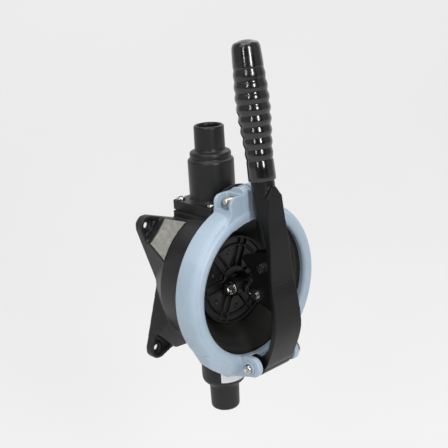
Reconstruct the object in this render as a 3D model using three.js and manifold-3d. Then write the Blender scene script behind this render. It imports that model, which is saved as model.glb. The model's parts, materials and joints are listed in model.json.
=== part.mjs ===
// Hand-operated diaphragm bilge pump for bulkhead mounting, as an assembly of separate pieces.
// Millimetres. The origin is the middle of the mounting face; the pump stands out of it towards -Y.
// X runs across the pump, Z is up, and both hose tails point along Z.

import * as THREE from 'three';
import { mergeVertices } from 'three/addons/utils/BufferGeometryUtils.js';
import Module from 'manifold-3d';

const wasm = await Module();
wasm.setup();

// ---------------------------------------------------------------- driving dimensions

const GAP = 0.3;            // clearance between pieces that bear on each other
const FINE = 48;            // facets round the large turned shapes
const MEDIUM = 28;          // facets round hose tails and bores
const COARSE = 16;          // facets round pins and screws

const PORT_Y = -28.5;       // both hose tails stand on this line
const TAIL_R = 12.6;        // small step, for 25 mm hose
const COLLAR_R = 19.4;      // large step, for 38 mm hose
const TAIL_BORE_R = 9.75;
const COLLAR_BORE_R = 16;

const BARREL = { y: -23.1, rearR: 60, frontR: 63.5, wall: 4 };
const BASE_R = 46;          // radius of the bowl where it meets the mounting face
const FLOOR = 6;            // thickness of the bowl's floor
const LIP = { r: 68.5, back: -58.3, front: -63 };   // body flange that the clamp ring grips

const FOOT = { tipR: 8.8, waist: 45.5, depth: 7.5, floor: 3, rim: 3, bossR: 5.4, holeR: 2.75, pad: 1.2 };
const FEET = [[54, 54], [-54, 54], [-54, -57], [54, -57]];   // screw holes and foot tips, in X and Z
const FOOT_ROOT = 70;       // distance from the pump's axis to where the foot's tray starts

const KEEPER = { y: [-55.7, -53.4], reach: 21.5, centreZ: 50, r: 35 };   // tab behind the ring's ears
const BLOCK = { half: 24.6, bottom: 38, top: 60 };    // square seat under the outlet flange
const FLANGE = { half: 24.6, bottom: 61.3, top: 69.2, corner: 5, screw: 19.1 };
const OUTLET = { collarTop: 103.5, shoulderR: 17.3, shoulderTop: 110.2, neck: 111.9, end: 131.9 };
const INLET = { collarEnd: -95.5, neck: -102.5, end: -125.8 };

const PORT_R = 12.5;        // flap valves cover ports of this radius
const FLAP = { r: 14.2, thick: 2, weightR: 9, weightThick: 1.6 };
const INLET_FLAP_Z = -57.7;
const OUTLET_FLAP_Z = 60.3;

const RING = { r: 72.6, lipR: 58.6, back: -56, groove: -70, front: -77.8, grooveR: 69, hookR: 65.2 };
const EAR = { x: 24, top: 82, humpTop: 88, humpX: 9, split: 0.75, front: -77, back: -56 };
const CLAMP = { y: -64.5, z: 76, r: 3, reach: 20.5 };
const LUG = { inner: 19.5, outer: 24.5, endY: -90, endZ: -60.5, endR: 8.5 };

const HINGE = { y: -87.5, z: -61.7, r: 4 };         // lever pivot
const LINK_PIN = { y: -84, z: -2.5, r: 3 };         // link to lever
const PLATE_PIN = { y: -56.5, z: -2.5, r: 3 };      // link to diaphragm plate
const PLATE_HOLE_R = 4.3;   // slack eye: the lever's arc is taken up here
const RIB_BOLT = { y: -91.5, z: 22.5, r: 2.5 };

const STUD = { r: 2.5, from: -77.2, to: -62.9 };   // threaded rod between the two link eyes
const LEVER = { web: 2.4, flange: 2.6, top: 90.3, cheekR: 9, ribInner: 5.1, ribOuter: 8.6 };
const STEM = { r: 9.5, boreR: 6.6, floor: -26, top: 24, pin: 12, pinR: 2, rodTop: 100 };
const GRIP = { y: -87.9, z: 93.8, lean: 6.35, length: 110, ribs: 8, pitch: 8.95, firstRib: 16.6 };

const SHEET = { front: -44.6, back: -42.6, outer: 40 };   // flat middle of the diaphragm
const PLATE_R = 39;

// ---------------------------------------------------------------- colours

function finish(color, roughness, metalness = 0) {
  return new THREE.MeshStandardMaterial({ color, roughness, metalness, flatShading: true });
}

const BLACK_PLASTIC = finish('#1c1d1f', 0.55);
const RING_PLASTIC = finish('#a9bccf', 0.5);
const LEVER_PLASTIC = finish('#2a2b2d', 0.5);
const VINYL = finish('#0c0c0e', 0.18);
const RUBBER = finish('#191a1a', 0.8);
const STEEL = finish('#c9c7c0', 0.3, 1);
const NYLON = finish('#d8d6cc', 0.5);
const FOIL = finish('#9a9c98', 0.45, 0.3);
const PAPER = finish('#e8e8e4', 0.6);

// ---------------------------------------------------------------- solids

function solid(geometry) {
  geometry.deleteAttribute('normal');
  geometry.deleteAttribute('uv');
  const merged = mergeVertices(geometry, 1e-4);
  const corner = merged.index.array;
  const kept = [];
  for (let i = 0; i < corner.length; i += 3) {
    const [a, b, c] = [corner[i], corner[i + 1], corner[i + 2]];
    if (a !== b && b !== c && c !== a) kept.push(a, b, c);
  }
  return new wasm.Manifold(new wasm.Mesh({
    numProp: 3,
    vertProperties: new Float32Array(merged.attributes.position.array),
    triVerts: new Uint32Array(kept),
  }));
}

function join(...parts) {
  return parts.reduce((whole, part) => whole.add(part));
}

function cut(from, ...tools) {
  return tools.reduce((whole, tool) => whole.subtract(tool), from);
}

function block(x, y, z) {
  const geometry = new THREE.BoxGeometry(x[1] - x[0], y[1] - y[0], z[1] - z[0]);
  geometry.translate((x[0] + x[1]) / 2, (y[0] + y[1]) / 2, (z[0] + z[1]) / 2);
  return solid(geometry);
}

// A turned solid about Z. Each profile point is [radius, z].
function turnedZ(profile, segments, x = 0, y = PORT_Y) {
  const geometry = new THREE.LatheGeometry(profile.map(([r, z]) => new THREE.Vector2(r, z)), segments);
  geometry.rotateX(Math.PI / 2);
  geometry.translate(x, y, 0);
  return outward(geometry);
}

// A turned solid about the pump's own axis, Y. Each profile point is [radius, y].
function turnedY(profile, segments) {
  return outward(new THREE.LatheGeometry(profile.map(([r, y]) => new THREE.Vector2(r, y)), segments));
}

// A lathe turns its faces in or out with its profile's direction, so a negative volume is flipped.
function outward(geometry) {
  const position = geometry.attributes.position;
  const index = geometry.index.array;
  const [a, b, c] = [new THREE.Vector3(), new THREE.Vector3(), new THREE.Vector3()];
  let volume = 0;
  for (let i = 0; i < index.length; i += 3) {
    a.fromBufferAttribute(position, index[i]);
    b.fromBufferAttribute(position, index[i + 1]);
    c.fromBufferAttribute(position, index[i + 2]);
    volume += a.dot(b.cross(c));
  }
  if (volume < 0) {
    for (let i = 0; i < index.length; i += 3) [index[i], index[i + 1]] = [index[i + 1], index[i]];
  }
  return solid(geometry);
}

function rodX(r, x, y, z, segments = COARSE) {
  const geometry = new THREE.CylinderGeometry(r, r, x[1] - x[0], segments);
  geometry.rotateZ(Math.PI / 2);
  geometry.translate((x[0] + x[1]) / 2, y, z);
  return solid(geometry);
}

function rodY(r, x, y, z, segments = COARSE) {
  const geometry = new THREE.CylinderGeometry(r, r, y[1] - y[0], segments);
  geometry.translate(x, (y[0] + y[1]) / 2, z);
  return solid(geometry);
}

function rodZ(r, x, y, z, segments = COARSE) {
  const geometry = new THREE.CylinderGeometry(r, r, z[1] - z[0], segments);
  geometry.rotateX(Math.PI / 2);
  geometry.translate(x, y, (z[0] + z[1]) / 2);
  return solid(geometry);
}

function extruded(shape, depth, curveSegments = 8) {
  return new THREE.ExtrudeGeometry(shape, { depth, bevelEnabled: false, curveSegments, steps: 1 });
}

// An outline drawn in X and Z, made thick along Y.
function plateXZ(shape, y, curveSegments) {
  const geometry = extruded(shape, y[1] - y[0], curveSegments);
  geometry.rotateX(Math.PI / 2);
  geometry.translate(0, y[1], 0);
  return solid(geometry);
}

// An outline drawn in Y and Z, made thick along X.
function plateYZ(shape, x, curveSegments) {
  const geometry = extruded(shape, x[1] - x[0], curveSegments);
  geometry.applyMatrix4(new THREE.Matrix4().set(0, 0, 1, x[0], 1, 0, 0, 0, 0, 1, 0, 0, 0, 0, 0, 1));
  return solid(geometry);
}

// An outline drawn in X and Y, made thick along Z.
function plateXY(shape, z, curveSegments) {
  const geometry = extruded(shape, z[1] - z[0], curveSegments);
  geometry.translate(0, 0, z[0]);
  return solid(geometry);
}

function outline(points) {
  return new THREE.Shape(points.map(([u, v]) => new THREE.Vector2(u, v)));
}

function roundedRectangle(halfU, halfV, corner, u = 0, v = 0) {
  const shape = new THREE.Shape();
  shape.absarc(u + halfU - corner, v + halfV - corner, corner, 0, Math.PI / 2);
  shape.absarc(u - halfU + corner, v + halfV - corner, corner, Math.PI / 2, Math.PI);
  shape.absarc(u - halfU + corner, v - halfV + corner, corner, Math.PI, 1.5 * Math.PI);
  shape.absarc(u + halfU - corner, v - halfV + corner, corner, 1.5 * Math.PI, 2 * Math.PI);
  return shape;
}

const pump = new THREE.Group();

// Adds one finished piece to the pump.
function piece(name, body, material) {
  const { vertProperties, triVerts } = body.getMesh();
  const geometry = new THREE.BufferGeometry();
  geometry.setAttribute('position', new THREE.BufferAttribute(new Float32Array(vertProperties), 3));
  geometry.setIndex(new THREE.BufferAttribute(new Uint32Array(triVerts), 1));
  geometry.computeVertexNormals();
  const mesh = new THREE.Mesh(geometry, material);
  mesh.name = name;
  pump.add(mesh);
  return mesh;
}

// ---------------------------------------------------------------- pump body

// Four feet on the diagonals: rounded tips joined by straight edges that meet at the waists.
function footOutline(inset) {
  const shape = new THREE.Shape();
  const radius = FOOT.tipR - inset;
  const waist = FOOT.waist - inset;
  const waists = [[waist, 0], [0, waist], [-waist, 0], [0, -waist]];
  FEET.forEach(([x, z], i) => {
    const before = waists[i];
    const after = waists[(i + 1) % 4];
    const tangent = ([u, v]) => Math.acos(radius / Math.hypot(u - x, v - z));
    const start = Math.atan2(before[1] - z, before[0] - x) + tangent(before);
    const end = Math.atan2(after[1] - z, after[0] - x) - tangent(after);
    if (i === 0) shape.moveTo(...before);
    else shape.lineTo(...before);
    shape.absarc(x, z, radius, start, end);
  });
  return shape;
}

function eachFoot(make) {
  return FEET.map(([x, z]) => make(x, z));
}

function footRootSquare(y) {
  const reach = FOOT_ROOT * Math.SQRT2;
  return plateXZ(outline([[reach, 0], [0, reach], [-reach, 0], [0, -reach]]), y);
}

function bowl() {
  return turnedY([
    [0, 0], [BASE_R, 0], [BARREL.rearR, BARREL.y], [BARREL.frontR, LIP.back],
    [LIP.r, LIP.back], [LIP.r, LIP.front], [0, LIP.front],
  ], FINE);
}

function chamber() {
  const { wall } = BARREL;
  return turnedY([
    [0, -FLOOR], [BASE_R - wall, -FLOOR], [BARREL.rearR - wall, BARREL.y],
    [BARREL.frontR - wall - 1.5, LIP.front - 1], [0, LIP.front - 1],
  ], FINE);
}

// The 45 degree shoulder by which the barrel runs out into each foot, moved forward by lift.
function shoulderCone(lift) {
  const run = -BARREL.y;
  return turnedY([
    [0, BARREL.y - lift], [BARREL.rearR, BARREL.y - lift], [BARREL.rearR + run, -lift], [0, -lift],
  ], FINE);
}

function pumpBody() {
  const { half, bottom, top } = BLOCK;
  const star = plateXZ(footOutline(0), [BARREL.y, 0], 6);
  const root = star.intersect(shoulderCone(0)).intersect(footRootSquare([BARREL.y, 0]));
  const tray = plateXZ(footOutline(FOOT.rim), [-FOOT.depth - 1, -FOOT.floor], 6)
    .subtract(footRootSquare([-FOOT.depth - 2, 0]));
  const feet = cut(plateXZ(footOutline(0), [-FOOT.depth, 0], 6), tray);
  const bosses = eachFoot((x, z) => rodY(FOOT.bossR, x, [-FOOT.floor - FOOT.pad, 0], z));
  const outletBlock = block([-half, half], [PORT_Y - half, PORT_Y + half], [bottom, top]);
  const { y, reach, centreZ, r } = KEEPER;
  const keeper = rodY(r, 0, y, centreZ, FINE).intersect(block([-reach, reach], [-60, -50], [40, 90]));
  const inletTail = turnedZ([
    [0, -40], [COLLAR_R, -40], [COLLAR_R, INLET.collarEnd], [COLLAR_R - 0.9, INLET.collarEnd - 2.4],
    [COLLAR_R - 3, INLET.collarEnd - 4.8], [TAIL_R + 1.3, INLET.neck + 0.6], [TAIL_R + 0.6, INLET.neck],
    [TAIL_R, INLET.end + 1.6], [TAIL_R - 1.4, INLET.end], [0, INLET.end],
  ], MEDIUM);
  const inletBore = turnedZ([
    [0, -44], [COLLAR_BORE_R - 0.2, -44], [COLLAR_BORE_R - 0.2, INLET.collarEnd],
    [TAIL_BORE_R, INLET.neck + 3], [TAIL_BORE_R, INLET.end - 1], [0, INLET.end - 1],
  ], MEDIUM);
  const outletPort = rodZ(PORT_R, 0, PORT_Y, [30, top + 1], MEDIUM);
  const screwHoles = eachFlangeScrew((x, y) => rodZ(2.3, x, y, [top - 14.5, top + 1], 12));
  const mountHoles = eachFoot((x, z) => rodY(FOOT.holeR, x, [-FOOT.depth - 1, 1], z));
  const shell = join(bowl(), root, feet, ...bosses, outletBlock, keeper, inletTail);
  const flangeRoom = block([-half - GAP, half + GAP], [KEEPER.y[1], PORT_Y + half + GAP], [top, 75]);
  return cut(shell, chamber(), inletBore, outletPort, flangeRoom, ...screwHoles, ...mountHoles);
}

function eachFlangeScrew(make) {
  const at = FLANGE.screw;
  return [[-1, -1], [1, -1], [-1, 1], [1, 1]].map(([sx, sy]) => make(sx * at, PORT_Y + sy * at));
}

piece('pump_body', pumpBody(), BLACK_PLASTIC);

// ---------------------------------------------------------------- outlet

function outletTail() {
  const flange = plateXY(roundedRectangle(FLANGE.half, FLANGE.half, FLANGE.corner, 0, PORT_Y),
    [FLANGE.bottom, FLANGE.top], 4);
  const tail = turnedZ([
    [0, FLANGE.bottom + 1], [COLLAR_R, FLANGE.bottom + 1], [COLLAR_R, OUTLET.collarTop],
    [OUTLET.shoulderR, OUTLET.collarTop + 3.6], [OUTLET.shoulderR, OUTLET.shoulderTop - 1.2],
    [OUTLET.shoulderR - 1.2, OUTLET.shoulderTop], [TAIL_R + 0.9, OUTLET.shoulderTop + 0.5],
    [TAIL_R + 0.2, OUTLET.neck], [TAIL_R, OUTLET.end - 1.4], [TAIL_R - 1.3, OUTLET.end], [0, OUTLET.end],
  ], MEDIUM);
  const bore = turnedZ([
    [0, FLANGE.bottom - 1], [COLLAR_BORE_R, FLANGE.bottom - 1], [COLLAR_BORE_R, OUTLET.collarTop - 2],
    [TAIL_BORE_R, OUTLET.neck - 2], [TAIL_BORE_R, OUTLET.end + 1], [0, OUTLET.end + 1],
  ], MEDIUM);
  const holes = eachFlangeScrew((x, y) => rodZ(2.3, x, y, [FLANGE.bottom - 1, FLANGE.top + 1], 12));
  return cut(join(flange, tail), bore, ...holes);
}

function outletGasket() {
  const sheet = plateXY(roundedRectangle(FLANGE.half - 0.4, FLANGE.half - 0.4, FLANGE.corner, 0, PORT_Y),
    [BLOCK.top + GAP, FLANGE.bottom - GAP], 4);
  const opening = rodZ(COLLAR_BORE_R, 0, PORT_Y, [BLOCK.top - 1, FLANGE.bottom + 1], MEDIUM);
  const holes = eachFlangeScrew((x, y) => rodZ(2.5, x, y, [BLOCK.top - 1, FLANGE.bottom + 1], 12));
  return cut(sheet, opening, ...holes);
}

// Pan-head screw with a straight slot, standing on the flange.
function flangeScrew(x, y) {
  const seat = FLANGE.top + GAP;
  const screw = turnedZ([
    [0, BLOCK.top - 13.5], [1.4, BLOCK.top - 13.5], [2, BLOCK.top - 12], [2, seat], [3.7, seat],
    [3.7, seat + 1.2], [2.6, seat + 2.1], [0, seat + 2.3],
  ], 14, x, y);
  return cut(screw, block([x - 4, x + 4], [y - 0.5, y + 0.5], [seat + 1.2, seat + 3]));
}

piece('outlet_tail', outletTail(), BLACK_PLASTIC);
piece('outlet_gasket', outletGasket(), RUBBER);
eachFlangeScrew((x, y) => [x, y]).forEach(([x, y], i) => {
  piece(`flange_screw_${i + 1}`, flangeScrew(x, y), STEEL);
});

// ---------------------------------------------------------------- flap valves

function disc(r, bottom, thick, segments) {
  return rodZ(r, 0, PORT_Y, [bottom, bottom + thick], segments);
}

function flapWeight(bottom) {
  return turnedZ([
    [0, bottom], [FLAP.weightR, bottom], [FLAP.weightR, bottom + FLAP.weightThick - 0.5],
    [FLAP.weightR - 0.6, bottom + FLAP.weightThick], [0, bottom + FLAP.weightThick],
  ], COARSE);
}

function inletSeat() {
  const top = INLET_FLAP_Z - GAP;
  const rim = COLLAR_BORE_R - 0.2 - GAP;
  return cut(disc(rim, top - 3.5, 3.5, MEDIUM), disc(PORT_R, top - 4.5, 6, MEDIUM));
}

piece('inlet_seat', inletSeat(), NYLON);
piece('inlet_flap', disc(FLAP.r, INLET_FLAP_Z, FLAP.thick, MEDIUM - 8), RUBBER);
piece('inlet_flap_weight', flapWeight(INLET_FLAP_Z + FLAP.thick + GAP), STEEL);
piece('outlet_flap', disc(FLAP.r, OUTLET_FLAP_Z, FLAP.thick, MEDIUM - 8), RUBBER);
piece('outlet_flap_weight', flapWeight(OUTLET_FLAP_Z + FLAP.thick + GAP), STEEL);

// ---------------------------------------------------------------- clamp ring

function ringSolid() {
  return turnedY([
    [RING.hookR - 8, RING.back], [RING.r - 1.2, RING.back], [RING.r, RING.back - 1.6], [RING.r - 0.1, -62],
    [RING.r - 0.8, -68], [RING.r - 2.4, -73], [RING.r - 4.8, -76.3], [RING.r - 7.6, RING.front],
    [RING.lipR + 3.2, RING.front + 0.2], [RING.lipR + 1, RING.front + 1.4], [RING.lipR - 8, RING.front + 4],
    [RING.hookR - 8, RING.back],
  ], FINE);
}

function ringSpace() {
  return turnedY([
    [0, RING.back + 2], [RING.hookR, RING.back + 2], [RING.hookR, LIP.back + GAP],
    [RING.grooveR, LIP.back + GAP], [RING.grooveR, RING.groove], [RING.lipR + 0.6, RING.groove],
    [RING.lipR, RING.front + 3.4], [RING.lipR, RING.front - 3], [0, RING.front - 3],
  ], FINE);
}

// One half of the split clamp's ear: two walls with an open pocket, and a web that takes the bolt.
function ear(side) {
  const span = (near, far) => [Math.min(side * near, side * far), Math.max(side * near, side * far)];
  const body = block(span(0, EAR.x), [EAR.front, EAR.back], [60, EAR.top]);
  const hump = plateXZ(roundedRectangle(EAR.humpX / 2, 12, 2.2, side * EAR.humpX / 2, EAR.humpTop - 12),
    [EAR.front, -57.5], 3);
  const slope = plateXZ(outline([[side * 17, EAR.top + 1], [side * 26, EAR.top + 1], [side * 26, 75]]),
    [EAR.front - 1, EAR.back + 1]);
  return cut(join(body, hump), slope);
}

function hingeLug(side) {
  const x = side > 0 ? [LUG.inner, LUG.outer] : [-LUG.outer, -LUG.inner];
  const tongue = plateYZ(outline([
    [-60, -66], [RING.back, -78], [LUG.endY, LUG.endZ - LUG.endR], [LUG.endY, LUG.endZ + LUG.endR],
    [-76.5, LUG.endZ + LUG.endR + 2], [-60, LUG.endZ + LUG.endR + 2],
  ]), x);
  return join(tongue, rodX(LUG.endR, x, LUG.endY, LUG.endZ, 28));
}

// The ring thickens below, where the lugs grow out of it.
function hingeSaddle() {
  const front = -75;
  const swell = turnedY([[0, RING.back], [86, RING.back], [71.5, front], [0, front]], FINE);
  const edge = [[57, -45], [50, -57.5], [39, -67.5], [29, -74.5], [24.5, -78.5]];
  const mirrored = edge.map(([x, z]) => [-x, z]).reverse();
  return swell.intersect(plateXZ(outline([...edge, ...mirrored]), [front, RING.back]));
}

function clampRing() {
  const whole = join(ringSolid(), hingeSaddle(), ear(-1), ear(1), hingeLug(-1), hingeLug(1));
  const split = block([-EAR.split, EAR.split], [RING.front - 2, RING.back + 2], [50, EAR.humpTop + 2]);
  const boltHole = rodX(CLAMP.r + GAP, [-EAR.x - 1, EAR.x + 1], CLAMP.y, CLAMP.z);
  const nutSlot = block([-8.2, -3.6], [CLAMP.y - 5.4, CLAMP.y + 5.4], [CLAMP.z - 5.4, EAR.humpTop + 1]);
  const hingeHole = rodX(HINGE.r + 0.2, [-LUG.outer - 1, LUG.outer + 1], HINGE.y, HINGE.z);
  const pockets = [[-EAR.x - 1, -12], [12, EAR.x + 1]].map((x) => (
    block(x, [EAR.front + 3.4, EAR.back - 3], [70, EAR.top + 1])));
  return cut(whole, ringSpace(), ...pockets, split, boltHole, nutSlot, hingeHole);
}

function clampBolt() {
  const shank = rodX(CLAMP.r, [-CLAMP.reach, 12 + GAP + 1.9], CLAMP.y, CLAMP.z);
  const head = rodX(5.2, [12 + GAP + 1.8, 12 + GAP + 5.8], CLAMP.y, CLAMP.z, 6);
  return join(shank, head);
}

function washerX(r, hole, x, y, z) {
  return cut(rodX(r, x, y, z, 24), rodX(hole, [x[0] - 1, x[1] + 1], y, z));
}

function squareNut() {
  const nut = block([-7.9, -3.9], [CLAMP.y - 5, CLAMP.y + 5], [CLAMP.z - 5, CLAMP.z + 5]);
  return cut(nut, rodX(CLAMP.r + GAP, [-10, -2], CLAMP.y, CLAMP.z));
}

piece('clamp_ring', clampRing(), RING_PLASTIC);
piece('clamp_bolt', clampBolt(), STEEL);
piece('clamp_nut', squareNut(), STEEL);
piece('clamp_washer', washerX(5.2, CLAMP.r + GAP, [12 + GAP, 12 + GAP + 1.4], CLAMP.y, CLAMP.z), STEEL);

// ---------------------------------------------------------------- diaphragm and its plates

// A rubber sheet with a thick rim bead, a rolled flank and a flat middle.
function diaphragm() {
  const beadIn = RING.lipR - 2.6;
  const beadOut = LIP.r;
  return turnedY([
    [5, SHEET.back], [SHEET.outer, SHEET.back], [43.2, -44.8], [46.4, -51], [49.6, -57.6],
    [52.6, LIP.front + 0.6], [beadIn, LIP.front - GAP], [beadOut, LIP.front - GAP],
    [beadOut, RING.groove + GAP], [beadIn + 1, RING.groove + GAP], [beadIn, RING.groove + 1.6],
    [beadIn - 1.6, RING.groove + 3.4], [50.6, -61.6], [47.4, -57.6], [44.2, -51.2], [41.8, -46.6],
    [SHEET.outer - 0.6, SHEET.front], [5, SHEET.front], [5, SHEET.back],
  ], 40);
}

function spokes() {
  const parts = [];
  for (let i = 0; i < 6; i += 1) {
    for (const side of [-1, 1]) {
      const geometry = new THREE.BoxGeometry(26.5, 3.2, 1.7);
      geometry.translate(24, -47.6, side * 3.7);
      geometry.rotateY(-THREE.MathUtils.degToRad(i * 60 + 6));
      parts.push(solid(geometry));
    }
  }
  return parts;
}

function clevisCheek(side) {
  const x = side > 0 ? [5.3, 9.6] : [-9.6, -5.3];
  const { y, z } = PLATE_PIN;
  const foot = plateYZ(outline([[-46, z - 10], [y, z - 7.2], [y, z + 7.2], [-46, z + 10]]), x);
  return join(foot, rodX(7.2, x, y, z, 24));
}

function frontPlate() {
  const back = SHEET.front - GAP;
  const dish = turnedY([
    [0, back], [PLATE_R, back], [PLATE_R, -48.5], [PLATE_R - 0.7, -49.3], [PLATE_R - 1.9, -49.3],
    [PLATE_R - 2.6, -48.5], [PLATE_R - 2.6, -46.6], [31.4, -46.6], [31.4, -48.2], [29.8, -48.2],
    [29.8, -46.6], [13, -46.6], [13, -49.6], [0, -49.6],
  ], 40);
  const whole = join(dish, ...spokes(), clevisCheek(-1), clevisCheek(1));
  const countersink = turnedY([
    [0, -51], [6.7, -51], [6.7, -48.3], [4.3, -45.8], [4.3, -44], [0, -44],
  ], COARSE);
  const pinHole = rodX(PLATE_PIN.r + 0.2, [-12, 12], PLATE_PIN.y, PLATE_PIN.z);
  const eyeRoom = rodX(7.4, [-5.3, 5.3], PLATE_PIN.y, PLATE_PIN.z, 24);
  return cut(whole, countersink, pinHole, eyeRoom);
}

function rearPlate() {
  const front = SHEET.back + GAP;
  const dish = turnedY([
    [4.3, front], [36, front], [37.5, front + 1.2], [36.4, front + 2.2], [14, front + 2.6],
    [12, front + 4.4], [4.3, front + 4.4], [4.3, front],
  ], 40);
  return dish;
}

function centreBolt() {
  return turnedY([
    [0, -49.2], [6.2, -49.2], [6.2, -48.6], [3.9, -46], [3.9, -30.2], [3.2, -29.4], [0, -29.4],
  ], COARSE);
}

function centreNut() {
  const front = SHEET.back + GAP + 4.4 + GAP;
  return cut(rodY(7.2, 0, [front, front + 5.6], 0, 6), rodY(4.2, 0, [front - 1, front + 7], 0));
}

piece('diaphragm', diaphragm(), RUBBER);
piece('diaphragm_front_plate', frontPlate(), LEVER_PLASTIC);
piece('diaphragm_rear_plate', rearPlate(), BLACK_PLASTIC);
piece('centre_bolt', centreBolt(), STEEL);
piece('centre_nut', centreNut(), STEEL);

// Clevis bolt: its nut and washer are on the -X side, its head on the +X side.
function platePin() {
  const { y, z, r } = PLATE_PIN;
  return join(rodX(r, [-17.2, 10.2], y, z), rodX(5, [9.6 + GAP, 13.2], y, z, 6));
}

function hexNutX(r, hole, x, y, z) {
  return cut(rodX(r, x, y, z, 6), rodX(hole, [x[0] - 1, x[1] + 1], y, z));
}

piece('plate_pin', platePin(), STEEL);
piece('plate_pin_washer', washerX(5.4, 3.2, [-10.9, -9.9], PLATE_PIN.y, PLATE_PIN.z), STEEL);
piece('plate_pin_nut', hexNutX(4.8, 3.2, [-15.9, -11.2], PLATE_PIN.y, PLATE_PIN.z), STEEL);

// ---------------------------------------------------------------- link

// An eye at each end of a threaded stud, with a lock nut between them.
function linkEye(y, hole, reach) {
  const { z } = PLATE_PIN;
  const eye = rodX(6.6, [-4.8, 4.8], y, z, 24);
  const neck = rodY(4.6, 0, [Math.min(y, reach), Math.max(y, reach)], z, 18);
  return cut(join(eye, neck), rodX(hole, [-6, 6], y, z));
}

function linkSocket() {
  return rodY(STUD.r + 0.25, 0, [STUD.from - 0.5, STUD.to + 0.5], PLATE_PIN.z, 16);
}

function lockNut() {
  const { z } = PLATE_PIN;
  return cut(rodY(5.8, 0, [-71.4, -67.2], z, 6), rodY(STUD.r + 0.25, 0, [-72, -66], z, 16));
}

piece('link_inner_eye', cut(linkEye(PLATE_PIN.y, PLATE_HOLE_R, -66.9), linkSocket()), LEVER_PLASTIC);
piece('link_outer_eye', cut(linkEye(LINK_PIN.y, LINK_PIN.r + 0.2, -71.7), linkSocket()), LEVER_PLASTIC);
piece('link_stud', rodY(STUD.r, 0, [STUD.from, STUD.to], PLATE_PIN.z, 16), STEEL);
piece('link_lock_nut', lockNut(), STEEL);

// ---------------------------------------------------------------- lever

const LEVER_FRONT = [
  [-100.3, 90.3], [-102.1, 64.6], [-104, 47], [-105.9, 14.7], [-108.9, -3.4], [-110.5, -24.6],
  [-107.2, -40.4], [-99.7, -58.6], [-95.5, -64.5],
];
const LEVER_BACK = [
  [-101.4, -44], [-105.6, -29], [-104.8, -8], [-101.9, 14], [-99.6, 38], [-95.6, 58],
  [-92, 76], [-91, 90.3],
];

function halfWidth(z) {
  return THREE.MathUtils.mapLinear(Math.max(z, -30), 90.3, -30, 7.7, 16);
}

function smooth(points, steps) {
  const curve = new THREE.SplineCurve(points.map(([u, v]) => new THREE.Vector2(u, v)));
  return curve.getPoints(steps).map((p) => [p.x, p.y]);
}

// The lever seen from the front: narrow at the top, where its corners are cut off.
function leverWidth(inset, top) {
  const rightSide = [-75, -25, 30, top].map((z) => [halfWidth(z) - inset, z]);
  const leftSide = rightSide.map(([x, z]) => [-x, z]).reverse();
  return plateXZ(outline([...rightSide, ...leftSide]), [-125, -60]);
}

function leverTopCorners() {
  return [-1, 1].map((side) => plateXZ(outline([
    [side * 1.7, LEVER.top + 0.5], [side * 12, LEVER.top + 0.5], [side * 12, LEVER.top - 11],
    [side * 8, LEVER.top - 8.3],
  ]), [-125, -93.4]));
}

function leverRib(side) {
  const x = side > 0 ? [LEVER.ribInner, LEVER.ribOuter] : [-LEVER.ribOuter, -LEVER.ribInner];
  const web = plateYZ(outline([
    [-107.4, -16], [LINK_PIN.y, LINK_PIN.z - 6], [LINK_PIN.y + 6, LINK_PIN.z], [-79.5, 15.5], [-68.5, 26],
    [-71.5, 30], [-102.2, 38],
  ]), x);
  return join(web, rodX(6, x, LINK_PIN.y, LINK_PIN.z, 24), rodX(5.4, x, RIB_BOLT.y, RIB_BOLT.z, 20));
}

function lever() {
  const front = smooth(LEVER_FRONT, 22);
  const side = outline([...front, [HINGE.y, HINGE.z - 5], [HINGE.y, HINGE.z + 5], [-97.5, -49],
    ...smooth(LEVER_BACK, 14)]);
  const cheeks = rodX(LEVER.cheekR, [-20, 20], HINGE.y, HINGE.z, 28);
  const outer = join(plateYZ(side, [-20, 20]), cheeks).intersect(leverWidth(0, LEVER.top + 1));
  const inside = outline([...front.map(([y, z]) => [y + LEVER.web, z]), [-60, -80], [-60, 92]]);
  const channel = plateYZ(inside, [-20, 20]).intersect(leverWidth(LEVER.flange, LEVER.top + 2));
  const shell = cut(outer, channel, ...leverTopCorners());
  const whole = join(shell, stem(), leverRib(-1), leverRib(1));
  return cut(
    whole,
    rodX(HINGE.r + 1.9, [-20, 20], HINGE.y, HINGE.z, 24),
    rodX(LINK_PIN.r + 0.2, [-10, 10], LINK_PIN.y, LINK_PIN.z),
    rodX(RIB_BOLT.r + 0.2, [-10, 10], RIB_BOLT.y, RIB_BOLT.z),
    handleRodZ(STEM.boreR, STEM.floor, STEM.top + 1),
    crossPin(STEM.pinR + 0.2, 12),
  );
}

// Round parts that share the grip's own axis, which leans back from the lever.
function alongHandle(part) {
  const tilt = new THREE.Matrix4().makeRotationX(-GRIP.lean * Math.PI / 180);
  tilt.setPosition(0, GRIP.y, GRIP.z);
  return part.transform(tilt.elements);
}

function handleRodZ(r, from, to, segments = 24) {
  return alongHandle(rodZ(r, 0, 0, [from, to], segments));
}

// The stem runs out into the back of the lever on a long slope.
function stem() {
  const slope = plateYZ(outline([
    [-60, 150], [-60, 72], [-104, 34], [-106, 60], [-101, 92], [-101, 150],
  ]), [-15, 15]);
  const front = plateYZ(outline([
    ...LEVER_FRONT.slice(0, 4), [-60, 14.7], [-60, 150], [-98, 150],
  ]), [-15, 15]);
  return handleRodZ(STEM.r, -64, STEM.top, 28).intersect(slope).intersect(front);
}

function crossPin(r, halfLength) {
  return alongHandle(rodX(r, [-halfLength, halfLength], 0, STEM.pin, 14));
}

piece('lever', lever(), LEVER_PLASTIC);
const bareRod = handleRodZ(STEM.boreR - GAP, STEM.floor + GAP, STEM.rodTop);
piece('handle_rod', cut(bareRod, crossPin(STEM.pinR + 0.2, 12)), STEEL);
piece('rod_pin', crossPin(STEM.pinR, STEM.r - 0.3), STEEL);

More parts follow.
